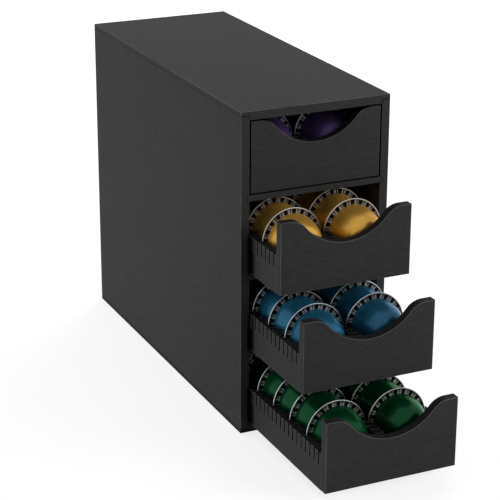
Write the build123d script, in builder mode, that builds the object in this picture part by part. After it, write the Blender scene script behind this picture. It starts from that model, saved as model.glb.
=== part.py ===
"""Coffee pod drawer: a wooden cabinet of four drawers whose slotted walls hold rows of pods.

Millimetres. +X is right, +Y goes to the back and +Z is up, with the origin at the centre of
the cabinet's underside. The pod sets the slots, the slots set the drawer, and the drawer
sets the cabinet.
"""

from build123d import *
import os
from math import acos, degrees, radians, sin, sqrt

os.makedirs("parts", exist_ok=True)

# ---- Pod: an aluminium dome on a flat rim, closed by a foil lid behind the rim ----
rim_radius = 30.8
rim_thickness = 1.2  # of the rolled bead at the rim's edge
rim_web = 0.5  # thickness of the flat ring inside the bead
dome_radius = 25.2
dome_height = 33.0  # in front of the bead
shoulder_drop = 9.0  # from the apex to where the dome's side turns in
shoulder_inset = 5.6  # how much narrower the dome is there
cap_radius = 12.4  # of the shallow cap on the dome
cap_rise = 2.6
shell_wall = 0.5
lid_thickness = 0.3
lid_gap = 0.1  # between the lid's edge and the bead
pod_lean = 2.0  # degrees that the pods lean back in their slots

# ---- Slots that hold the rims ----
slots_per_pod = 4  # a pod stands in every fourth slot
pods_in_row = 5  # pods in each row, counted from the front
slot_count = 41
slot_width = 2.6
slot_depth_outside = 13.2  # on the outer combs' outer faces
rim_engagement = 3.65  # how far the rims reach into each comb
rim_clearance = 0.75  # between a rim and its slot's floor
nesting_gap = 0.68  # between a dome and the lid in front of it
standing_gap = 0.3  # between the rims and the drawer's floor

# ---- Drawer ----
front_thickness = 9.0
comb_thickness = 8.5  # of the outer combs, which are the drawer's sides
centre_comb_thickness = 9.2
comb_rise = 2.5  # of the combs' tops above the rims' centres
first_slot_inset = 5.2  # from the front board's back to the first slot's middle
comb_tail = 16.5  # from the last slot's middle to the drawer's end
floor_thickness = 3.0
floor_rebate = 4.0  # how far the floor is let into the outer combs
back_wall_thickness = 9.0
scoop_depth = 26.9
scoop_radius = 55.0
scoop_shoulder = 20.0  # radius of the curves at both sides of the scoop
slide_gap = 0.3  # under the combs and the floor
side_gap = 1.1
gap_below_front = 0.9
gap_above_front = 1.1
gap_behind_drawer = 1.0
drawer_pulls = (0.0, 64.2, 112.7, 159.8)  # how far each drawer stands open, top one first

# ---- Cabinet ----
panel_thickness = 9.0  # top, bottom and both sides
lip_thickness = 4.5  # of the top and bottom panels' ends, which cover the sides
shelf_thickness = 6.5
dado_depth = 3.0  # how far the shelves are let into the sides
headroom = 6.3  # between the pods and the shelf above
back_thickness = 4.0
back_rebate = 5.0  # how far the back is let into the panels round it
edge_round = 0.6  # of the boards' edges that show

# ---- Dowels and screws ----
dowel_diameter = 5.0
dowel_in_front = 6.0
dowel_in_comb = 16.0
dowel_in_side = 5.0  # where the back wall's dowels enter the outer combs
dowel_in_wall = 16.0
corner_dowel_diameter = 3.0
corner_dowel_in_side = 6.0
corner_dowel_in_panel = 12.0
corner_dowels_in_row = 3
corner_dowel_spacing = 120.0
dowel_bevel = 0.4
pin_fit = 0.05  # radial clearance of every dowel and screw
pin_end_gap = 0.5
floor_screw_diameter = 3.0
floor_screw_head = 5.6
floor_screw_sink = 1.5  # height of the countersunk head
floor_screw_length = 13.0
floor_screws_in_comb = 3
floor_screw_spacing = 130.0
back_screw_diameter = 2.4
back_screw_head = 4.2
back_screw_sink = 1.1
back_screw_length = 14.0
back_screws_in_column = 4
back_screw_spacing = 90.0

# ---- Sizes that follow; a drawer's heights are above the shelf that it slides on ----
pod_pitch = dome_height + rim_thickness + nesting_gap
slot_pitch = pod_pitch / slots_per_pod
first_slot = front_thickness + first_slot_inset
drawer_length = first_slot + (slot_count - 1) * slot_pitch + comb_tail

row_width = 2 * (rim_radius - rim_engagement)  # between the combs
row_offset = centre_comb_thickness / 2 + row_width / 2
comb_inner = centre_comb_thickness / 2 + row_width
comb_outer = comb_inner + comb_thickness
drawer_width = 2 * comb_outer
interior_width = drawer_width + 2 * side_gap
cabinet_width = interior_width + 2 * panel_thickness

floor_top = slide_gap + floor_thickness
pod_height = floor_top + standing_gap + rim_radius
comb_top = pod_height + comb_rise
slot_floor_outside = comb_top - slot_depth_outside
rim_half_chord = sqrt(rim_radius**2 - (row_width / 2) ** 2)
slot_floor_inside = pod_height - rim_half_chord - rim_clearance
dowel_height = (floor_top + slot_floor_inside) / 2
bay_height = pod_height + rim_radius + headroom
front_height = bay_height - gap_below_front - gap_above_front

drawer_count = len(drawer_pulls)
cabinet_depth = drawer_length + gap_behind_drawer + back_thickness
shelf_pitch = bay_height + shelf_thickness
interior_height = drawer_count * shelf_pitch - shelf_thickness
cabinet_height = interior_height + 2 * panel_thickness
front_y = -cabinet_depth / 2
back_y = cabinet_depth / 2
shelf_depth = cabinet_depth - back_thickness
inner_x = interior_width / 2
lip_step = panel_thickness - lip_thickness

# Planes and alignments
CABINET_FACE = Plane.XZ.offset(-front_y)  # the front's plane, facing forward
DRAWER_FACE = Plane.XZ
FROM_BASE = (Align.CENTER, Align.CENTER, Align.MIN)
FROM_FRONT = (Align.CENTER, Align.MIN, Align.MIN)
FROM_BACK = (Align.CENTER, Align.MAX, Align.MIN)


def save(piece, name):
    """Labels a finished piece and writes it."""
    piece.part.label = name
    export_step(piece.part, f"parts/{name}.step")


def facing(direction, points):
    """Planes at points, facing along a direction."""
    return [Plane(origin=point, z_dir=direction) for point in points]


def mirrored(points):
    """Points with their mirror images to the other side."""
    return points + [(-x, y, z) for x, y, z in points]


def pin(planes, radius, length, mode=Mode.ADD):
    """A pin on each plane, along its normal, or the hole for one."""
    hole = mode == Mode.SUBTRACT
    with Locations(*planes):
        Cylinder(
            radius + (pin_fit if hole else 0),
            length + (pin_end_gap if hole else 0),
            align=FROM_BASE,
            mode=mode,
        )


def screw(planes, diameter, head, sink, length, mode=Mode.ADD):
    """A countersunk screw with its head's face on each plane, or the hole for one."""
    spare = pin_fit if mode == Mode.SUBTRACT else 0
    pin(planes, diameter / 2, length, mode)
    with Locations(*planes):
        Cone(head / 2 + spare, diameter / 2 + spare, sink, align=FROM_BASE, mode=mode)


def floor_screws(mode=Mode.ADD):
    """The screws up through the drawer's floor, or their holes."""
    screw(
        facing((0, 0, 1), floor_screw_points),
        floor_screw_diameter,
        floor_screw_head,
        floor_screw_sink,
        floor_screw_length,
        mode,
    )


def back_screws(mode=Mode.ADD):
    """The screws through the cabinet's back, or their holes."""
    screw(
        facing((0, -1, 0), back_screw_points),
        back_screw_diameter,
        back_screw_head,
        back_screw_sink,
        back_screw_length,
        mode,
    )


def in_row(count, spacing):
    """Evenly spaced distances about zero."""
    return [(step - (count - 1) / 2) * spacing for step in range(count)]


# ======== Drawer, in its own frame: y = 0 is its face, z = 0 is the shelf's top ========
comb_middle = comb_inner + comb_thickness / 2
comb_length = drawer_length - front_thickness
centre_comb_length = comb_length - back_wall_thickness
wall_middle_y = drawer_length - back_wall_thickness / 2
slot_ys = [first_slot + step * slot_pitch for step in range(slot_count)]
front_dowel_points = [
    (x, front_thickness, dowel_height) for x in (-comb_middle, 0, comb_middle)
]
comb_middle_y = front_thickness + centre_comb_length / 2
floor_screw_points = [
    (0, comb_middle_y + y, slide_gap)
    for y in in_row(floor_screws_in_comb, floor_screw_spacing)
] + mirrored([(row_offset, wall_middle_y, slide_gap)])

# Front board, with the finger scoop: a hollow between two shoulders
scoop_turn = degrees(acos(1 - scoop_depth / (scoop_radius + scoop_shoulder)))
scoop_half = (scoop_radius + scoop_shoulder) * sin(radians(scoop_turn))
front_top = gap_below_front + front_height
half_width = drawer_width / 2

with BuildPart() as front:
    with BuildSketch(DRAWER_FACE):
        with BuildLine():
            frame = Polyline(
                (-scoop_half, front_top),
                (-half_width, front_top),
                (-half_width, gap_below_front),
                (half_width, gap_below_front),
                (half_width, front_top),
                (scoop_half, front_top),
            )
            shoulder = JernArc(frame @ 1, (-1, 0), scoop_shoulder, scoop_turn)
            hollow = JernArc(shoulder @ 1, shoulder % 1, scoop_radius, -2 * scoop_turn)
            JernArc(hollow @ 1, hollow % 1, scoop_shoulder, scoop_turn)
        make_face()
    extrude(amount=-front_thickness)
    fillet(front.faces().sort_by(Axis.Y)[0].edges(), edge_round)
    pin(
        facing((0, -1, 0), front_dowel_points),
        dowel_diameter / 2,
        dowel_in_front,
        Mode.SUBTRACT,
    )

# Right comb: the drawer's right side, slotted from its top. The slots' floors slope down
# inwards, because the round rims reach lowest at the comb's inner face
with BuildPart() as right_comb:
    with Locations((comb_middle, front_thickness, slide_gap)):
        Box(comb_thickness, comb_length, comb_top - slide_gap, align=FROM_FRONT)
    with Locations((comb_inner + floor_rebate / 2, front_thickness, slide_gap)):
        Box(floor_rebate, comb_length, floor_thickness, align=FROM_FRONT, mode=Mode.SUBTRACT)
    with BuildSketch(*[DRAWER_FACE.offset(-y) for y in slot_ys]):
        with BuildLine():
            Polyline(
                (comb_inner, slot_floor_inside),
                (comb_outer, slot_floor_outside),
                (comb_outer, comb_top),
                (comb_inner, comb_top),
                close=True,
            )
        make_face()
    extrude(amount=slot_width / 2, both=True, mode=Mode.SUBTRACT)
    pin(
        facing((0, 1, 0), front_dowel_points[2:]),
        dowel_diameter / 2,
        dowel_in_comb,
        Mode.SUBTRACT,
    )
    pin(
        facing((1, 0, 0), [(comb_inner, wall_middle_y, dowel_height)]),
        dowel_diameter / 2,
        dowel_in_side,
        Mode.SUBTRACT,
    )

with BuildPart() as left_comb:
    mirror(right_comb.part, about=Plane.YZ)

# Centre comb, whose slots take the rims of both rows
with BuildPart() as centre_comb:
    with Locations((0, front_thickness, floor_top)):
        Box(
            centre_comb_thickness,
            centre_comb_length,
            comb_top - floor_top,
            align=FROM_FRONT,
        )
    with Locations([(0, y, slot_floor_inside) for y in slot_ys]):
        Box(
            centre_comb_thickness,
            slot_width,
            comb_top - slot_floor_inside,
            align=FROM_BASE,
            mode=Mode.SUBTRACT,
        )
    pin(
        facing((0, 1, 0), front_dowel_points[1:2]),
        dowel_diameter / 2,
        dowel_in_comb,
        Mode.SUBTRACT,
    )
    floor_screws(Mode.SUBTRACT)

# Back wall, between the outer combs
with BuildPart() as back_wall:
    with Locations((0, drawer_length, floor_top)):
        Box(2 * comb_inner, back_wall_thickness, comb_top - floor_top, align=FROM_BACK)
    for side in (-1, 1):
        wall_end = (side * comb_inner, wall_middle_y, dowel_height)
        pin(
            facing((-side, 0, 0), [wall_end]),
            dowel_diameter / 2,
            dowel_in_wall,
            Mode.SUBTRACT,
        )
    floor_screws(Mode.SUBTRACT)

# Floor, let into the outer combs
with BuildPart() as floor_panel:
    with Locations((0, front_thickness, slide_gap)):
        Box(
            2 * (comb_inner + floor_rebate),
            comb_length,
            floor_thickness,
            align=FROM_FRONT,
        )
    floor_screws(Mode.SUBTRACT)

# Dowels: one from the front into each comb, and one from each outer comb into the back wall
with BuildPart() as dowels:
    pin(
        facing((0, 1, 0), [(x, y - dowel_in_front, z) for x, y, z in front_dowel_points]),
        dowel_diameter / 2,
        dowel_in_front + dowel_in_comb,
    )
    for side in (-1, 1):
        outer_end = (side * (comb_inner + dowel_in_side), wall_middle_y, dowel_height)
        pin(
            facing((-side, 0, 0), [outer_end]),
            dowel_diameter / 2,
            dowel_in_side + dowel_in_wall,
        )
    chamfer(dowels.edges().filter_by(GeomType.CIRCLE), dowel_bevel)

with BuildPart() as screws:
    floor_screws()

# Pod shell, about the Y axis with its dome to the front: the dome, the web and the bead
apex = dome_height + rim_thickness / 2
web_back = lid_thickness - rim_thickness / 2
web_front = web_back + rim_web
bead_radius = rim_radius - rim_thickness / 2
FORWARD = Plane(origin=(0, 0, 0), x_dir=(1, 0, 0), z_dir=(0, 0, -1))


def dome_line(wall):
    """Half of the dome's outline, from its foot to its apex, this far inside the outer one."""
    foot = Line((dome_radius - wall, web_back), (dome_radius - wall, web_front))
    side = TangentArc(
        foot @ 1,
        (dome_radius - shoulder_inset - wall, apex - shoulder_drop - wall),
        tangent=(0, 1),
    )
    TangentArc(side @ 1, (cap_radius - wall, apex - cap_rise - wall), tangent=side % 1)
    TangentArc((0, apex - wall), (cap_radius - wall, apex - cap_rise - wall), tangent=(1, 0))


with BuildPart() as pod_shell:
    with BuildSketch(FORWARD):
        with BuildLine():
            dome_line(0)
            dome_line(shell_wall)
            Line((dome_radius, web_back), (dome_radius - shell_wall, web_back))
            Line((0, apex), (0, apex - shell_wall))
        make_face()
        with BuildLine():
            Polyline(
                (dome_radius - shell_wall, web_back),
                (bead_radius, web_back),
                (bead_radius, web_front),
                (dome_radius - shell_wall, web_front),
                close=True,
            )
        make_face()
        with Locations((bead_radius, 0)):
            Circle(rim_thickness / 2)
    revolve(axis=Axis.Y)

with BuildPart() as pod_lid:
    with BuildSketch(DRAWER_FACE.offset(-rim_thickness / 2)):
        Circle(rim_radius - rim_thickness - lid_gap)
    extrude(amount=lid_thickness)

pod_places = [
    Location(
        (side * row_offset, first_slot + (place + 1) * pod_pitch, pod_height),
        (-pod_lean, 0, 0),
    )
    for place in range(pods_in_row)
    for side in (-1, 1)
]

with BuildPart() as pod_shells:
    with Locations(*pod_places):
        add(pod_shell.part)

with BuildPart() as pod_lids:
    with Locations(*pod_places):
        add(pod_lid.part)

# ======== Cabinet ========
def bay_floor(number):
    """Height of the surface that a drawer slides on. Drawer 1 is the top one."""
    return panel_thickness + (drawer_count - number) * shelf_pitch


interior_top = cabinet_height - panel_thickness
corner_dowel_points = [
    (inner_x, y, interior_top + lip_step / 2)
    for y in in_row(corner_dowels_in_row, corner_dowel_spacing)
]
lower_dowel_points = [(x, y, cabinet_height - z) for x, y, z in corner_dowel_points]
back_screw_points = mirrored(
    [
        (inner_x + back_rebate / 2, back_y, cabinet_height / 2 + z)
        for z in in_row(back_screws_in_column, back_screw_spacing)
    ]
)
shelf_names = ("upper_shelf", "middle_shelf", "lower_shelf")

# Top panel, rebated at both ends to lie over the sides and at the back for the back panel
with BuildPart() as top_panel:
    with BuildSketch(CABINET_FACE):
        with Locations((0, cabinet_height)):
            Rectangle(cabinet_width, lip_thickness, align=(Align.CENTER, Align.MAX))
            Rectangle(interior_width, panel_thickness, align=(Align.CENTER, Align.MAX))
    extrude(amount=-cabinet_depth)
    left_to_right = top_panel.faces().sort_by(Axis.X)
    shown_faces = [
        top_panel.faces().sort_by(Axis.Z)[-1],
        top_panel.faces().sort_by(Axis.Y)[0],
        left_to_right[0],
        left_to_right[-1],
    ]
    fillet({edge for face in shown_faces for edge in face.edges()}, edge_round)
    with Locations((0, back_y, interior_top)):
        Box(
            interior_width + 2 * back_rebate,
            back_thickness,
            back_rebate,
            align=FROM_BACK,
            mode=Mode.SUBTRACT,
        )
    for side in (-1, 1):
        pin(
            facing((-side, 0, 0), [(side * x, y, z) for x, y, z in corner_dowel_points]),
            corner_dowel_diameter / 2,
            corner_dowel_in_panel,
            Mode.SUBTRACT,
        )

with BuildPart() as bottom_panel:
    mirror(top_panel.part, about=Plane.XY.offset(cabinet_height / 2))

# Right side panel, with a dado for each shelf
with BuildPart() as right_side_panel:
    with Locations((inner_x + panel_thickness / 2, front_y, lip_thickness)):
        Box(
            panel_thickness,
            cabinet_depth,
            cabinet_height - 2 * lip_thickness,
            align=FROM_FRONT,
        )
    shown_faces = [
        right_side_panel.faces().sort_by(Axis.X)[-1],
        right_side_panel.faces().sort_by(Axis.Y)[0],
    ]
    fillet({edge for face in shown_faces for edge in face.edges()}, edge_round)
    with Locations(
        [
            (inner_x + dado_depth / 2, front_y, bay_floor(number) - shelf_thickness)
            for number in range(1, drawer_count)
        ]
    ):
        Box(dado_depth, shelf_depth, shelf_thickness, align=FROM_FRONT, mode=Mode.SUBTRACT)
    with Locations((inner_x + back_rebate / 2, back_y, 0)):
        Box(
            back_rebate,
            back_thickness,
            cabinet_height,
            align=FROM_BACK,
            mode=Mode.SUBTRACT,
        )
    pin(
        facing((1, 0, 0), corner_dowel_points + lower_dowel_points),
        corner_dowel_diameter / 2,
        corner_dowel_in_side,
        Mode.SUBTRACT,
    )
    back_screws(Mode.SUBTRACT)

with BuildPart() as left_side_panel:
    mirror(right_side_panel.part, about=Plane.YZ)

with BuildPart() as back_panel:
    with Locations((0, back_y, panel_thickness - back_rebate)):
        Box(
            interior_width + 2 * back_rebate,
            back_thickness,
            interior_height + 2 * back_rebate,
            align=FROM_BACK,
        )
    back_screws(Mode.SUBTRACT)

with BuildPart() as corner_dowels:
    for side in (-1, 1):
        pin(
            facing(
                (-side, 0, 0),
                [
                    (side * (x + corner_dowel_in_side), y, z)
                    for x, y, z in corner_dowel_points + lower_dowel_points
                ],
            ),
            corner_dowel_diameter / 2,
            corner_dowel_in_side + corner_dowel_in_panel,
        )
    chamfer(corner_dowels.edges().filter_by(GeomType.CIRCLE), dowel_bevel)

with BuildPart() as back_panel_screws:
    back_screws()

save(top_panel, "top_panel")
save(bottom_panel, "bottom_panel")
save(left_side_panel, "left_side_panel")
save(right_side_panel, "right_side_panel")
save(back_panel, "back_panel")
save(corner_dowels, "corner_dowels")
save(back_panel_screws, "back_screws")

for number, name in enumerate(shelf_names, 1):
    with BuildPart() as shelf:
        with Locations((0, front_y, bay_floor(number) - shelf_thickness)):
            Box(
                interior_width + 2 * dado_depth,
                shelf_depth,
                shelf_thickness,
                align=FROM_FRONT,
            )
        fillet(shelf.faces().sort_by(Axis.Y)[0].edges(), edge_round)
    save(shelf, name)

# ======== The four drawers, each pulled out by its own distance ========
drawer_pieces = {
    "front": front,
    "left_comb": left_comb,
    "right_comb": right_comb,
    "centre_comb": centre_comb,
    "back_wall": back_wall,
    "floor": floor_panel,
    "dowels": dowels,
    "screws": screws,
    "pod_shells": pod_shells,
    "pod_lids": pod_lids,
}
for number, pull in enumerate(drawer_pulls, 1):
    for name, piece in drawer_pieces.items():
        with BuildPart() as placed:
            with Locations((0, front_y - pull, bay_floor(number))):
                add(piece.part)
        save(placed, f"drawer_{number}_{name}")

print("cabinet", cabinet_width, cabinet_depth, cabinet_height)
print("drawer", drawer_width, drawer_length, front_height, "slot pitch", slot_pitch)
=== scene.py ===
"""Looks of the coffee pod drawer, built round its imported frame. Metres, in the frame's axes."""

from math import atan2, ceil, cos, pi, radians, sin, sqrt

import bmesh
import bpy
from mathutils import Matrix, Vector


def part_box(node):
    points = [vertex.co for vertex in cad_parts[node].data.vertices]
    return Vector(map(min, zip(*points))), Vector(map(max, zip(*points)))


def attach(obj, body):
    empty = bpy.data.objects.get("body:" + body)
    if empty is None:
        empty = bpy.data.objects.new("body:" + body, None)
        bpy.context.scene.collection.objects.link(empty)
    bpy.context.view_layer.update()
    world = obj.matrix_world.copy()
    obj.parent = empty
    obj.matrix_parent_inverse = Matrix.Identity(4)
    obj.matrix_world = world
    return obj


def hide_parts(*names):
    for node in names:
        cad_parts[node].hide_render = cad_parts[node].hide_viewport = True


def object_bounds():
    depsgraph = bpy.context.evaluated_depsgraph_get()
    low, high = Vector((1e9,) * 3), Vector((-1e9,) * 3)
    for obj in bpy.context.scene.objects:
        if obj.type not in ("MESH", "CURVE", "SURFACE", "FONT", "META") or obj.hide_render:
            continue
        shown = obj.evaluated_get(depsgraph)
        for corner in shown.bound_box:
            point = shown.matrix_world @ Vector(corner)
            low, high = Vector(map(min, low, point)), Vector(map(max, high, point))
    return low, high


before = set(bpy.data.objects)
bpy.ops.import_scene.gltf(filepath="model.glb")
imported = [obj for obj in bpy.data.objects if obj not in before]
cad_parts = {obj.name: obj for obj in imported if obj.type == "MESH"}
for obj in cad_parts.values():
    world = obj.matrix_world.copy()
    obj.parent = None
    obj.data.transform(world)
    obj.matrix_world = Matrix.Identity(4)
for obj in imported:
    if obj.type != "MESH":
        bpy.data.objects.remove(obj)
cad_low, cad_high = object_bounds()

DRAWERS = (1, 2, 3, 4)

# ---- Camera, where the photograph was taken from ----
CAMERA_PLACE = (-0.71568, -1.58122, 0.76071)
CAMERA_YAW = 25.001  # degrees from +Y towards +X
CAMERA_PITCH = 20.463  # degrees below the horizon
CAMERA_ROLL = 0.216
LENS = 125.93  # millimetres, on a sensor 36 mm wide

# ---- Pod: a lacquered dome, a ring with printed ticks and a rolled bead ----
RIM_RADIUS = 0.0308
BEAD_RADIUS = 0.0006
WEB_BACK = -0.0003
WEB_FRONT = 0.0002
DOME_RADIUS = 0.0252
SHOULDER = (0.0196, 0.0246)  # radius and height in front of the rim
CAP = (0.0124, 0.0310)
APEX = 0.0336
SHELL_WALL = 0.0005
POD_LEAN = 2.0  # degrees
PODS_IN_ROW = 5
TWIST = 7.0  # degrees from one pod's print to the next one's, times the drawer's number
FOOT_ROUND = 0.0007  # of the crease between the dome and the ring
CAP_LINE_PLACE = 0.93  # where the raised line round the cap is, as a share of the cap's radius
CAP_LINE_REACH = 0.0007  # to either side
CAP_LINE_HEIGHT = 0.00022
LID_RADIUS = 0.0295
LID_BACK = -0.0006
LID_FRONT = -0.0003
LID_CRIMP = 0.0285  # inner radius of the crimped edge
LID_CIRCLES = (0.0272, 0.0240)  # outer radii of the pressed circles
LID_PRESS = 0.00012  # their depth
LID_SLOPE = 0.0004  # the width of a pressed circle's sloping sides
LID_FLAT = 0.0006  # and of its flat middle
LID_BACK_INNER = 0.0120  # radii at which the flat faces are divided once more
LID_FRONT_INNER = 0.0150
# Steps along the dome's side, its shoulder and its crown
OUTER_STEPS = (14, 8, 10)
INNER_STEPS = (6, 4, 4)
CREASE_STEPS = 4
BEAD_STEPS = 15
LID_STEPS = 96  # all the way round
# Printed ticks round the ring, as pairs of degrees of ink and of bare metal, repeated
TICKS = ((9, 3), (2.2, 4), (8.5, 5), (2.3, 2))
WIDEST_STEP = 3  # degrees round the ring that a face takes in at most


# ======== Small helpers ========
def grow(material, kind, **values):
    """A new shader node with the given inputs and settings."""
    node = material.node_tree.nodes.new(kind)
    for name, value in values.items():
        if name in node.inputs:
            node.inputs[name].default_value = value
        else:
            setattr(node, name, value)
    return node


def link(material, source, target):
    """Joins a node's output to another node's input."""
    material.node_tree.links.new(source, target)


def new_material(name):
    """An empty material with its Principled shader."""
    material = bpy.data.materials.new(name)
    material.use_nodes = True
    return material, material.node_tree.nodes["Principled BSDF"]


def set_inputs(node, values):
    """Sets a node's inputs, named one by one."""
    for name, value in values.items():
        node.inputs[name].default_value = value


def stretched_noise(material, per_metre, offset, detail=4.0, roughness=0.6):
    """Noise in the frame's axes with so many features to the metre along each."""
    place = grow(material, "ShaderNodeTexCoord")
    mapping = grow(material, "ShaderNodeMapping")
    mapping.inputs["Scale"].default_value = per_metre
    mapping.inputs["Location"].default_value = offset
    noise = grow(material, "ShaderNodeTexNoise")
    set_inputs(noise, {"Scale": 1.0, "Detail": detail, "Roughness": roughness})
    link(material, place.outputs["Object"], mapping.inputs["Vector"])
    link(material, mapping.outputs["Vector"], noise.inputs["Vector"])
    return noise.outputs["Fac"]


def ramp(material, source, stops):
    """A colour ramp of (position, grey or colour) stops."""
    node = grow(material, "ShaderNodeValToRGB")
    elements = node.color_ramp.elements
    while len(elements) < len(stops):
        elements.new(0.5)
    for element, (position, colour) in zip(elements, stops):
        element.position = position
        element.color = (*(colour if hasattr(colour, "__len__") else (colour,) * 3), 1)
    link(material, source, node.inputs["Fac"])
    return node.outputs["Color"]


def math_node(material, operation, first, second=None):
    """One step of arithmetic on numbers or on nodes' outputs."""
    node = grow(material, "ShaderNodeMath", operation=operation)
    for socket, value in zip(node.inputs, (first, second)):
        if isinstance(value, (int, float)):
            socket.default_value = value
        elif value is not None:
            link(material, value, socket)
    return node.outputs["Value"]


def blend_colours(material, factor, first, second, kind="MIX"):
    """A mix of two colours, each a colour or a node's output."""
    node = grow(material, "ShaderNodeMix", data_type="RGBA", blend_type=kind)
    sockets = (node.inputs["Factor"], node.inputs[6], node.inputs[7])
    for socket, value in zip(sockets, (factor, first, second)):
        if isinstance(value, bpy.types.NodeSocket):
            link(material, value, socket)
        else:
            socket.default_value = value if isinstance(value, float) else (*value, 1)
    return node.outputs[2]


def paint(material, shader, colour, gloss):
    """Gives the shader its colour and its roughness, both from nodes."""
    link(material, colour, shader.inputs["Base Color"])
    link(material, gloss, shader.inputs["Roughness"])


def bump(material, shader, height, distance, strength, under=None):
    """Raises a surface by a height from nodes, over the normal under it if there is one."""
    node = grow(material, "ShaderNodeBump")
    set_inputs(node, {"Strength": strength, "Distance": distance})
    link(material, height, node.inputs["Height"])
    if under is not None:
        link(material, under, node.inputs["Normal"])
    link(material, node.outputs["Normal"], shader.inputs["Normal"])


# ======== Materials ========
BOARD_TONE = 0.036
TONE_SPREAD = 0.005  # darker and lighter than that, where the grain is closed
OPEN_SPREAD = 0.020  # added to the spread where it is fully open
UPWARD_SHADE = 0.38  # painted shade: what is left of the tone on narrow edges that look up
GROOVE_SHADE = 0.02  # and deep in grooves and slots, as painted shade
# Features to the metre, along the grain and across it
FIBRES = (150, 1000)
PORES = (260, 2600)
CLOUD = (9, 34)
# Edges with a painted highlight: how far they reach, and their tone
EDGE_REACH = 0.0007
EDGE_HIGHLIGHT_TONE = (0.150, 0.148, 0.145)
COMB_EDGE_REACH = 0.0010
COMB_EDGE_HIGHLIGHT_TONE = (0.165, 0.162, 0.158)
EDGE_BAND = 0.001  # how far in from the cabinet's outside its edges carry the painted highlight
BEVEL_SAMPLES = 8
HOLLOW_SAMPLES = 8
GRAINS = {"X": (1, 0, 0), "Y": (0, 1, 0)}


def along(axis, lengthwise, across):
    """Features to the metre on each axis, for a grain that runs along one."""
    return tuple(lengthwise if on else across for on in GRAINS[axis])


def facing(material):
    """How far a surface faces along X, Y and Z, each from 0 to 1."""
    surface = grow(material, "ShaderNodeNewGeometry")
    parts = grow(material, "ShaderNodeSeparateXYZ")
    link(material, surface.outputs["Normal"], parts.inputs[0])
    return [math_node(material, "ABSOLUTE", parts.outputs[axis]) for axis in "XYZ"]


# The mask of a board's edges, for their painted highlight and their painted joint shade
def painted_edge_mask(material, reach, full, none, scooped):
    """1 on a board's edges, sharp or rounded, and 0 on its faces and in its scoop, and the
    normal of a surface whose edges are all softened. Sharp edges count fully where the softened
    and the true normal agree by no more than full, and not at all from none on."""
    rounded = grow(material, "ShaderNodeBevel", samples=BEVEL_SAMPLES)
    rounded.inputs["Radius"].default_value = reach
    surface = grow(material, "ShaderNodeNewGeometry")
    dot = grow(material, "ShaderNodeVectorMath", operation="DOT_PRODUCT")
    link(material, rounded.outputs["Normal"], dot.inputs[0])
    link(material, surface.outputs["Normal"], dot.inputs[1])
    sharp = ramp(material, dot.outputs["Value"], ((full, 1.0), (none, 0.0)))
    sideways, forward, upward = facing(material)
    across = math_node(material, "MAXIMUM", sideways, upward)
    turning = math_node(material, "MINIMUM", forward, across)
    if not scooped:
        corner = math_node(material, "MINIMUM", sideways, upward)
        turning = math_node(material, "MAXIMUM", turning, corner)
    round_edges = ramp(material, turning, ((0.08, 0.0), (0.34, 1.0)))
    return math_node(material, "MAXIMUM", sharp, round_edges), rounded.outputs["Normal"]


def near_outside(material):
    """1 close to the cabinet's outer sides, top and back, and 0 elsewhere."""
    place = grow(material, "ShaderNodeTexCoord")
    parts = grow(material, "ShaderNodeSeparateXYZ")
    link(material, place.outputs["Object"], parts.inputs[0])
    sideways = math_node(material, "ABSOLUTE", parts.outputs["X"])
    beside = math_node(material, "GREATER_THAN", sideways, cad_high.x - EDGE_BAND)
    above = math_node(material, "GREATER_THAN", parts.outputs["Z"], cad_high.z - EDGE_BAND)
    behind = math_node(material, "GREATER_THAN", parts.outputs["Y"], cad_high.y - EDGE_BAND)
    return math_node(
        material, "MAXIMUM", beside, math_node(material, "MAXIMUM", above, behind)
    )


def openness(material, distance, low, high, darkest):
    """1 in the open, falling to its darkest in grooves and slots."""
    hollow = grow(material, "ShaderNodeAmbientOcclusion", samples=HOLLOW_SAMPLES)
    hollow.inputs["Distance"].default_value = distance
    return ramp(material, hollow.outputs["AO"], ((low, darkest), (high, 1.0)))


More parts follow.
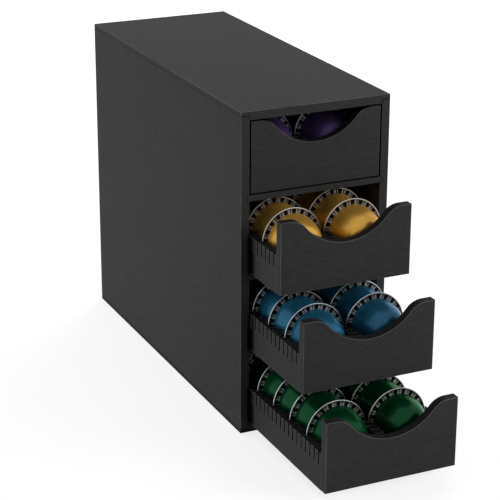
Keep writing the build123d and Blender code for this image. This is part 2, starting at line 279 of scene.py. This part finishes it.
def black_board(name, grain, seed, open_grain=0.0, scooped=False, slotted=False):
    """Solid board stained black, with fine grain along one axis, a painted highlight on its
    edges, and painted shade in its grooves, at its joints and on narrow edges that look up.
    """
    material, shader = new_material(name)
    shift = (0.731 * seed, 0.377 * seed, 0.519 * seed)
    fibres = stretched_noise(material, along(grain, *FIBRES), shift, 5.0, 0.62)
    pores = stretched_noise(material, along(grain, *PORES), shift, 2.0, 0.5)
    cloud = stretched_noise(material, along(grain, *CLOUD), shift, 3.0, 0.5)
    depth = TONE_SPREAD + OPEN_SPREAD * open_grain
    streaks = ramp(material, fibres, ((0.30, BOARD_TONE - depth), (0.72, BOARD_TONE + depth)))
    darker, lighter = BOARD_TONE - TONE_SPREAD, BOARD_TONE + TONE_SPREAD
    drift = ramp(material, cloud, ((0.3, darker), (0.7, lighter)))
    clouded = blend_colours(material, 0.30, streaks, drift)
    pore_mask = ramp(material, pores, ((0.60, 1.0), (0.72, 0.60)))
    stained = blend_colours(material, 1.0, clouded, pore_mask, "MULTIPLY")
    if scooped or slotted:  # painted shade on narrow edges that look up
        upward = facing(material)[2]
        painted_upward_shade = ramp(material, upward, ((0.20, 1.0), (0.55, UPWARD_SHADE)))
        stained = blend_colours(material, 1.0, stained, painted_upward_shade, "MULTIPLY")
    # Painted shade in grooves and slots, darker where ambient occlusion finds them hollow
    painted_groove_shade = openness(material, 0.012 if slotted else 0.005, 0.82, 0.99, GROOVE_SHADE)
    shaded = blend_colours(material, 1.0, stained, painted_groove_shade, "MULTIPLY")
    if slotted:
        highlighted, softened = painted_edge_mask(material, COMB_EDGE_REACH, 0.86, 0.995, scooped)
    else:
        edges, softened = painted_edge_mask(material, EDGE_REACH, 0.70, 0.97, scooped)
        exposed = openness(material, 0.004, 0.88, 0.99, 0.0)
        highlighted = math_node(material, "MULTIPLY", edges, exposed)
        painted_joint_shade_mask = math_node(material, "SUBTRACT", edges, highlighted)  # painted shade on edges that meet another board
        painted_joint_shade = ramp(material, painted_joint_shade_mask, ((0.0, 1.0), (0.7, 0.10)))
        shaded = blend_colours(material, 1.0, shaded, painted_joint_shade, "MULTIPLY")
        patchy = ramp(material, cloud, ((0.35, 0.55), (0.65, 1.0)))
        highlighted = math_node(material, "MULTIPLY", highlighted, patchy)
        if not scooped:
            highlighted = math_node(material, "MULTIPLY", highlighted, near_outside(material))
    # Painted highlight on the edges, paler in patches
    colour = blend_colours(material, highlighted, shaded, COMB_EDGE_HIGHLIGHT_TONE if slotted else EDGE_HIGHLIGHT_TONE)
    gloss = ramp(material, fibres, ((0.25, 0.66), (0.75, 0.54)))
    paint(material, shader, colour, gloss)
    shader.inputs["Specular IOR Level"].default_value = 0.06
    relief = math_node(material, "ADD", fibres, math_node(material, "MULTIPLY", pores, -0.8))
    bump(material, shader, relief, 0.00016, 0.45, softened)
    return material


def thin_board(name, seed):
    """Black hardboard: smooth, with a short felted speckle."""
    material, shader = new_material(name)
    shift = (0.211 * seed, 0.613 * seed, 0.417 * seed)
    felt = stretched_noise(material, (1300, 1300, 1300), shift, 4.0, 0.7)
    cloud = stretched_noise(material, (16, 16, 16), shift, 3.0, 0.5)
    dark, light = (0.014, 0.013, 0.0125), (0.030, 0.028, 0.027)
    speckle = ramp(material, felt, ((0.35, dark), (0.68, light)))
    tone = ramp(material, cloud, ((0.3, 0.86), (0.7, 1.0)))
    colour = blend_colours(material, 1.0, speckle, tone, "MULTIPLY")
    gloss = ramp(material, cloud, ((0.3, 0.62), (0.7, 0.78)))
    paint(material, shader, colour, gloss)
    shader.inputs["Specular IOR Level"].default_value = 0.25
    bump(material, shader, felt, 0.00012, 0.5)
    return material


def bare_beech(name, grain):
    """Pale dowel wood with short flecks."""
    material, shader = new_material(name)
    fibres = stretched_noise(material, along(grain, 60, 1800), (0.2, 0.4, 0.6), 4.0, 0.6)
    flecks = stretched_noise(material, along(grain, 350, 3200), (0.7, 0.1, 0.3), 2.0, 0.5)
    dark, light = (0.50, 0.33, 0.18), (0.68, 0.49, 0.30)
    wood = ramp(material, fibres, ((0.3, dark), (0.7, light)))
    spots = ramp(material, flecks, ((0.58, 1.0), (0.70, 0.72)))
    colour = blend_colours(material, 1.0, wood, spots, "MULTIPLY")
    gloss = ramp(material, fibres, ((0.3, 0.72), (0.7, 0.58)))
    paint(material, shader, colour, gloss)
    bump(material, shader, fibres, 0.0001, 0.5)
    return material


def metal(name, dark, light, rough, per_metre, relief):
    """Metal with its own slight variation in tone, roughness and surface."""
    material, shader = new_material(name)
    shader.inputs["Metallic"].default_value = 1.0
    fine = stretched_noise(material, (per_metre,) * 3, (0.13, 0.57, 0.91), 3.0, 0.6)
    cloud = stretched_noise(material, (90, 90, 90), (0.37, 0.11, 0.73), 3.0, 0.5)
    colour = ramp(material, cloud, ((0.3, dark), (0.7, light)))
    smooth, dull = rough
    gloss = ramp(material, cloud, ((0.3, dull), (0.7, smooth)))
    paint(material, shader, colour, gloss)
    bump(material, shader, fine, 0.00004, relief)
    return material


def lacquered_foil(name, rough, metallic, coat, dark, light):
    """Aluminium under a deep coloured lacquer, satin with a soft gloss on top."""
    material = metal(name, dark, light, (rough - 0.03, rough + 0.03), 2600, 0.06)
    shader = material.node_tree.nodes["Principled BSDF"]
    set_inputs(shader, {"Metallic": metallic, "Specular IOR Level": 0.12})
    set_inputs(shader, {"Coat Weight": coat, "Coat Roughness": 0.10})
    # What it reflects at a flat angle takes on three quarters of the lacquer's colour
    sheen = [0.25 + 0.75 * part / max(light) for part in light]
    set_inputs(shader, {"Specular Tint": (*sheen, 1)})
    return material


def printed_ink():
    """Black print on the ring, dull and slightly broken."""
    material, shader = new_material("printed_ink")
    speckle = stretched_noise(material, (5200, 5200, 5200), (0.3, 0.8, 0.2), 3.0, 0.6)
    colour = ramp(material, speckle, ((0.35, 0.001), (0.75, 0.004)))
    gloss = ramp(material, speckle, ((0.3, 0.55), (0.7, 0.72)))
    paint(material, shader, colour, gloss)
    shader.inputs["Specular IOR Level"].default_value = 0.05
    bump(material, shader, speckle, 0.00003, 0.3)
    return material


# For each drawer: roughness, metallic, coat, and the darker and lighter tone of its pods' lacquer
FOILS = {
    1: lacquered_foil(
        "purple_foil_look", 0.66, 0.72, 0.05, (0.108, 0.062, 0.188), (0.124, 0.072, 0.220)
    ),
    2: lacquered_foil(
        "gold_foil_look", 0.30, 0.5, 0.10, (0.73, 0.405, 0.073), (0.82, 0.461, 0.087)
    ),
    3: lacquered_foil(
        "blue_foil_look", 0.30, 0.25, 0.20, (0.016, 0.120, 0.215), (0.019, 0.139, 0.246)
    ),
    4: lacquered_foil(
        "green_foil_look", 0.30, 0.45, 0.12, (0.001, 0.050, 0.016), (0.002, 0.061, 0.020)
    ),
}
SLOTS = {1: "purple_foil", 2: "gold_foil", 3: "blue_foil", 4: "green_foil"}
# Darker and lighter tone, roughness from smooth to dull, features to the metre, and relief
RING_METAL = metal(
    "ring_metal", (0.24, 0.24, 0.245), (0.31, 0.31, 0.315), (0.50, 0.60), 3600, 0.3
)
BEAD_METAL = metal(
    "bead_metal", (0.46, 0.46, 0.47), (0.58, 0.58, 0.59), (0.26, 0.36), 2400, 0.2
)
INSIDE_METAL = metal(
    "inside_metal", (0.55, 0.55, 0.56), (0.66, 0.66, 0.67), (0.4, 0.5), 2400, 0.2
)
LID_METAL = metal("lid_metal", (0.62, 0.62, 0.63), (0.76, 0.76, 0.77), (0.28, 0.4), 1500, 0.5)
INK = printed_ink()
BLACK_STEEL = metal(
    "black_steel", (0.045, 0.045, 0.048), (0.07, 0.07, 0.073), (0.38, 0.5), 2600, 0.3
)


def dress(node, material):
    """Gives a node of the frame its material."""
    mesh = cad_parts[node].data
    mesh.materials.clear()
    mesh.materials.append(material)


# ======== The cabinet's boards ========
cabinet_grains = {
    "top_panel": "Y",
    "bottom_panel": "Y",
    "left_side_panel": "Y",
    "right_side_panel": "Y",
    "upper_shelf": "X",
    "middle_shelf": "X",
    "lower_shelf": "X",
}
for seed, (node, grain) in enumerate(cabinet_grains.items(), 1):
    dress(node, black_board(f"{node}_look", grain, seed))
dress("back_panel", thin_board("back_panel_look", 1))
dress("corner_dowels", bare_beech("corner_dowels_look", "X"))

# ======== The drawers' boards ========
drawer_grains = {
    "front": "X",
    "left_comb": "Y",
    "right_comb": "Y",
    "centre_comb": "Y",
    "back_wall": "X",
}
FRONT_OPEN_GRAIN = 0.3
first_drawer_seed = len(cabinet_grains) + 1
beech = bare_beech("dowels_look", "Y")
for number in DRAWERS:
    for step, (piece, grain) in enumerate(drawer_grains.items()):
        seed = first_drawer_seed + number * len(drawer_grains) + step
        node = f"drawer_{number}_{piece}"
        is_front = piece == "front"
        is_comb = piece.endswith("comb")
        open_grain = FRONT_OPEN_GRAIN if is_front else 0.0
        dress(node, black_board(f"{node}_look", grain, seed, open_grain, is_front, is_comb))
    dress(f"drawer_{number}_floor", thin_board(f"drawer_{number}_floor_look", 1 + number))
    dress(f"drawer_{number}_dowels", beech)
    dress(f"drawer_{number}_screws", BLACK_STEEL)
dress("back_screws", BLACK_STEEL)


# ======== Pods ========
def arc(start, direction, end, steps):
    """Points of the arc that leaves start in a direction and reaches end, without its start,
    and the direction at its end."""
    chord = (end[0] - start[0], end[1] - start[1])
    span = sqrt(chord[0] ** 2 + chord[1] ** 2)
    bend = atan2(
        direction[0] * chord[1] - direction[1] * chord[0],
        direction[0] * chord[0] + direction[1] * chord[1],
    )
    heading = atan2(direction[1], direction[0])
    radius = span / (2 * sin(bend))
    points = []
    for step in range(1, steps + 1):
        turned = 2 * bend * step / steps
        points.append(
            (
                start[0] + radius * (sin(heading + turned) - sin(heading)),
                start[1] - radius * (cos(heading + turned) - cos(heading)),
            )
        )
    return points, (cos(heading + 2 * bend), sin(heading + 2 * bend))


def dome_outline(wall, steps):
    """Points from the dome's foot to its apex, this far inside the outer surface."""
    side_steps, shoulder_steps, crown_steps = steps
    foot = (DOME_RADIUS - wall, WEB_FRONT + FOOT_ROUND)
    shoulder = (SHOULDER[0] - wall, SHOULDER[1] - wall)
    cap = (CAP[0] - wall, CAP[1] - wall)
    apex = (0.0, APEX - wall)
    side, heading = arc(foot, (0, 1), shoulder, side_steps)
    turn, _ = arc(shoulder, heading, cap, shoulder_steps)
    crown, _ = arc(apex, (1, 0), cap, crown_steps)
    return [foot, *side, *turn, *reversed(crown[:-1]), apex]


def cap_line(point):
    """Lifts the outline where the raised line runs round the cap."""
    radius, height = point
    distance = (radius - CAP[0] * CAP_LINE_PLACE) / CAP_LINE_REACH
    return (radius, height + CAP_LINE_HEIGHT * max(0.0, 1 - distance * distance))


def pod_outline():
    """The shell's closed outline as (radius, height, zone), from the apex round to the apex."""
    outer = [cap_line(point) for point in reversed(dome_outline(0, OUTER_STEPS))]
    rows = [(*point, "dome") for point in outer]
    for step in range(1, CREASE_STEPS + 1):
        angle = step * pi / (2 * CREASE_STEPS)
        rows.append(
            (
                DOME_RADIUS + FOOT_ROUND * (1 - cos(angle)),
                WEB_FRONT + FOOT_ROUND * (1 - sin(angle)),
                "ring",
            )
        )
    bead_middle = RIM_RADIUS - BEAD_RADIUS
    tuck = sqrt(BEAD_RADIUS**2 - WEB_FRONT**2)
    rows.append(((DOME_RADIUS + bead_middle) / 2, WEB_FRONT, "ring"))
    rows.append((bead_middle - tuck, WEB_FRONT, "bead"))
    first, last = atan2(WEB_FRONT, -tuck), -pi + atan2(-WEB_BACK, BEAD_RADIUS)
    for step in range(1, BEAD_STEPS + 1):
        angle = first + (last - first) * step / BEAD_STEPS
        zone = "bead" if step < BEAD_STEPS else "inside"
        rows.append((bead_middle + BEAD_RADIUS * cos(angle), BEAD_RADIUS * sin(angle), zone))
    rows.append((DOME_RADIUS - SHELL_WALL, WEB_BACK, "inside"))
    rows.extend((*point, "inside") for point in dome_outline(SHELL_WALL, INNER_STEPS)[1:])
    return rows


ZONES = ("dome", "ring", "bead", "inside", "ink")
TINY = 1e-7


def tick_angles():
    """Angles round the ring as (start in degrees, inked), with long stretches divided."""
    angles, at = [], 0.0
    while at < 360 - TINY:
        for ink, bare in TICKS:
            for width, inked in ((ink, True), (bare, False)):
                parts = ceil(width / WIDEST_STEP)
                angles += [(at + width * part / parts, inked) for part in range(parts)]
                at += width
    return angles


def turned_mesh(name, rows, angles, placements):
    """A mesh turned about -Y from its outline, once at each placement."""
    mesh = bpy.data.meshes.new(name)
    shape = bmesh.new()
    for placement in placements:
        rings = []
        for radius, height, _ in rows:
            if radius < TINY:
                rings.append([shape.verts.new(placement @ Vector((0, -height, 0)))])
                continue
            ring = []
            for angle, _ in angles:
                aside, up = radius * sin(radians(angle)), radius * cos(radians(angle))
                ring.append(shape.verts.new(placement @ Vector((aside, -height, up))))
            rings.append(ring)
        for below, above, (_, _, zone) in zip(rings, rings[1:], rows):
            for step, (_, inked) in enumerate(angles):
                following = (step + 1) % len(angles)
                corners = [
                    below[step % len(below)],
                    below[following % len(below)],
                    above[following % len(above)],
                    above[step % len(above)],
                ]
                corners = list(dict.fromkeys(corners))
                face = shape.faces.new(corners)
                face.smooth = True
                face.material_index = ZONES.index("ink" if zone == "ring" and inked else zone)
    bmesh.ops.recalc_face_normals(shape, faces=shape.faces)
    shape.to_mesh(mesh)
    shape.free()
    return mesh


def new_piece(mesh, materials, body, slot, *nodes):
    """Makes an object of the mesh that rides on a body and stands for nodes of the frame."""
    piece = bpy.data.objects.new(mesh.name, mesh)
    bpy.context.scene.collection.objects.link(piece)
    for material in materials:
        mesh.materials.append(material)
    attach(piece, body)
    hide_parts(*nodes)


lean = Matrix.Rotation(radians(-POD_LEAN), 4, "X")
pod_rows = pod_outline()
ring_angles = tick_angles()
own_ys = [
    (lean @ Vector((0, -height, side * radius))).y
    for radius, height, _ in pod_rows
    for side in (-1, 1)
]


def pod_placements(node, twist_step):
    """Where the pods stand, from the box of their node. Each is turned about its own axis."""
    low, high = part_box(node)
    pitch = ((high.y - max(own_ys)) - (low.y - min(own_ys))) / (PODS_IN_ROW - 1)
    across = high.x - RIM_RADIUS
    height = (low.z + high.z) / 2
    placements = []
    for place in range(PODS_IN_ROW):
        for side in (-1, 1):
            centre = Vector((side * across, low.y - min(own_ys) + place * pitch, height))
            twist = Matrix.Rotation(radians(twist_step * len(placements)), 4, "Y")
            placements.append(Matrix.Translation(centre) @ lean @ twist)
    return placements


def lid_outline():
    """The foil lid's outline: a flat disc with two pressed circles and a crimped edge."""
    back = [(LID_RADIUS, LID_BACK), (LID_CRIMP, LID_BACK)]
    for radius in LID_CIRCLES:
        back += [
            (radius, LID_BACK),
            (radius - LID_SLOPE, LID_BACK + LID_PRESS),
            (radius - LID_SLOPE - LID_FLAT, LID_BACK + LID_PRESS),
            (radius - LID_SLOPE - LID_FLAT - LID_SLOPE, LID_BACK),
        ]
    back += [(LID_BACK_INNER, LID_BACK), (0.0, LID_BACK)]
    front = [(0.0, LID_FRONT), (LID_FRONT_INNER, LID_FRONT), (LID_RADIUS, LID_FRONT)]
    rows = [(*point, "inside") for point in front]
    rows += [(*point, "dome") for point in back]
    return rows


lid_rows = lid_outline()
even_angles = [(step * 360 / LID_STEPS, False) for step in range(LID_STEPS)]

for number in DRAWERS:
    shells_node = f"drawer_{number}_pod_shells"
    placements = pod_placements(shells_node, TWIST * number)
    shells = turned_mesh(f"drawer_{number}_pods", pod_rows, ring_angles, placements)
    new_piece(
        shells,
        (FOILS[number], RING_METAL, BEAD_METAL, INSIDE_METAL, INK),
        f"drawer_{number}",
        SLOTS[number],
        shells_node,
    )
    lids = turned_mesh(f"drawer_{number}_lids", lid_rows, even_angles, placements)
    new_piece(
        lids,
        (LID_METAL, LID_METAL, LID_METAL, INSIDE_METAL),
        f"drawer_{number}",
        "lid_foil",
        f"drawer_{number}_pod_lids",
    )


# ======== Floor, light and camera ========
FLOOR_HALF = 6.0
FLOOR_DROP = 0.00012  # below the cabinet's underside
FLOOR_PLAIN = (0.78, 0.78, 0.78)  # as it lights the object
FLOOR_SEEN = (0.40, 0.40, 0.40)  # as the camera and reflections see it, with its glow
FLOOR_GLOW = 0.78
AMBIENT = 0.15  # of the world on matt surfaces
LIT_POINT = (0, -0.08, 0.16)  # where the lamps are aimed
SENSOR_WIDTH = 36


def pale_floor():
    """A floor that looks white to the camera and in reflections, and keeps a soft shadow."""
    material = bpy.data.materials.new("pale_floor")
    material.use_nodes = True
    material.node_tree.nodes.clear()
    output = grow(material, "ShaderNodeOutputMaterial")
    seen = grow(material, "ShaderNodeLightPath")
    plain = grow(material, "ShaderNodeBsdfDiffuse", Color=(*FLOOR_PLAIN, 1))
    shaded = grow(material, "ShaderNodeBsdfDiffuse", Color=(*FLOOR_SEEN, 1))
    white = grow(material, "ShaderNodeEmission", Color=(1, 1, 1, 1), Strength=FLOOR_GLOW)
    both = grow(material, "ShaderNodeAddShader")
    choice = grow(material, "ShaderNodeMixShader")
    direct = math_node(
        material, "MAXIMUM", seen.outputs["Is Camera Ray"], seen.outputs["Is Glossy Ray"]
    )
    direct = math_node(material, "MAXIMUM", direct, seen.outputs["Is Transmission Ray"])
    link(material, shaded.outputs[0], both.inputs[0])
    link(material, white.outputs[0], both.inputs[1])
    link(material, direct, choice.inputs["Fac"])
    link(material, plain.outputs[0], choice.inputs[1])
    link(material, both.outputs[0], choice.inputs[2])
    link(material, choice.outputs[0], output.inputs["Surface"])
    return material


floor_corners = [(x, y, 0) for x, y in ((-1, -1), (1, -1), (1, 1), (-1, 1))]
floor_mesh = bpy.data.meshes.new("studio_floor")
floor_mesh.from_pydata(floor_corners, [], [(0, 1, 2, 3)])
floor_mesh.transform(Matrix.Translation((0, 0, -FLOOR_DROP)) @ Matrix.Scale(FLOOR_HALF, 4))
floor_mesh.materials.append(pale_floor())
floor = bpy.data.objects.new("studio_floor", floor_mesh)
bpy.context.scene.collection.objects.link(floor)

world = bpy.data.worlds.new("studio")
bpy.context.scene.world = world
world.use_nodes = True
world.node_tree.nodes.clear()
sky_output = grow(world, "ShaderNodeOutputWorld")
sky_path = grow(world, "ShaderNodeLightPath")
sky_white = grow(world, "ShaderNodeBackground", Color=(1, 1, 1, 1), Strength=1.0)
sky_light = grow(world, "ShaderNodeBackground", Color=(1, 1, 1, 1), Strength=AMBIENT)
sky_choice = grow(world, "ShaderNodeMixShader")
sky_direct = math_node(
    world, "MAXIMUM", sky_path.outputs["Is Camera Ray"], sky_path.outputs["Is Glossy Ray"]
)
sky_direct = math_node(world, "MAXIMUM", sky_direct, sky_path.outputs["Is Transmission Ray"])
link(world, sky_direct, sky_choice.inputs["Fac"])
link(world, sky_light.outputs[0], sky_choice.inputs[1])
link(world, sky_white.outputs[0], sky_choice.inputs[2])
link(world, sky_choice.outputs[0], sky_output.inputs["Surface"])


def soft_light(name, place, size, power):
    """A square lamp at a place, turned to the lit point and not seen in reflections."""
    lamp = bpy.data.lights.new(name, "AREA")
    lamp.shape = "SQUARE"
    lamp.size = size
    lamp.energy = power
    light = bpy.data.objects.new(name, lamp)
    light.location = place
    light.rotation_mode = "QUATERNION"
    light.rotation_quaternion = (Vector(LIT_POINT) - Vector(place)).to_track_quat("-Z", "Y")
    light.visible_glossy = False
    bpy.context.scene.collection.objects.link(light)


soft_light("top_light", (-0.25, 1.1, 1.9), size=1.5, power=14)
soft_light("left_light", (-2.0, 0.20, 0.40), size=1.1, power=16.5)
soft_light("front_light", (1.35, -1.6, 0.75), size=1.1, power=25)
soft_light("rear_light", (1.5, 1.5, 0.7), size=1.2, power=28)


def camera_axes():
    """The camera's right, up and backward directions."""
    yaw, pitch, roll = (radians(angle) for angle in (CAMERA_YAW, CAMERA_PITCH, CAMERA_ROLL))
    ahead = Vector((sin(yaw) * cos(pitch), cos(yaw) * cos(pitch), -sin(pitch)))
    right = Vector((cos(yaw), -sin(yaw), 0))
    up = right.cross(ahead)
    return right * cos(roll) + up * sin(roll), up * cos(roll) - right * sin(roll), -ahead


lens = bpy.data.cameras.new("photo_camera")
lens.sensor_width = SENSOR_WIDTH
lens.lens = LENS
camera = bpy.data.objects.new("photo_camera", lens)
turn = Matrix(camera_axes()).transposed().to_4x4()
camera.matrix_world = Matrix.Translation(CAMERA_PLACE) @ turn
bpy.context.scene.collection.objects.link(camera)
bpy.context.scene.camera = camera
bpy.context.scene.view_settings.view_transform = "Standard"
